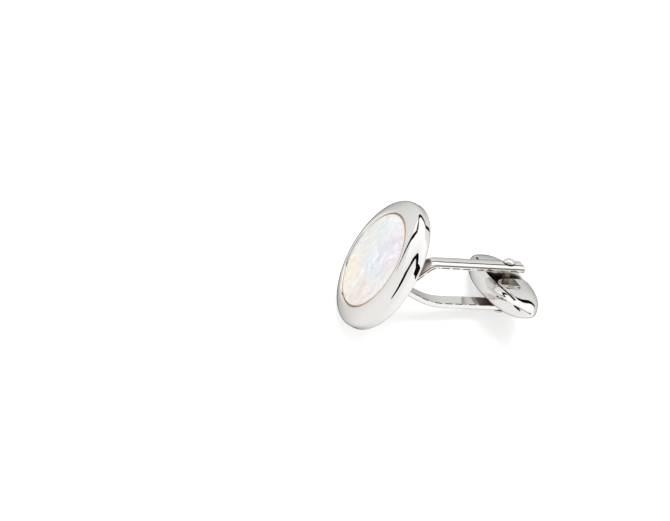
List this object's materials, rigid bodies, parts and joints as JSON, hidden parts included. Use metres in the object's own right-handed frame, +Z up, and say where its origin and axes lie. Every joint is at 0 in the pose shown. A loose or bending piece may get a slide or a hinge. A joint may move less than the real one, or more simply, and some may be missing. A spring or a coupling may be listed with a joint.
{
  "type": "cufflink",
  "caption": "Round cufflink with a shell inlay, a two-armed fork on its back and an oval swivel toggle, lying on a table.",
  "frame": {"origin": "on the table, under the middle of the whole cufflink's box", "axes": "+Z up from the table it lies on; the arms run from the bezel towards +X and the face looks towards -X and -Y"},
  "size_m": [0.0247, 0.0194, 0.0152],
  "materials": {
    "silver": "mirror polished",
    "shell": "polished mother of pearl"
  },
  "bodies": {
    "head": {"bezel_and_fork": "silver", "inlay": "shell", "rivet": "silver"},
    "toggle": {"toggle": "silver"}
  },
  "joints": [
    {"name": "toggle_swivel", "type": "hinge", "parent": "head", "child": "toggle", "pos_m": [0.0082, 0.00264, 0.00351], "axis": [0.008, 0.396, 0.9182], "range_deg": [-94, 86]}
  ]
}
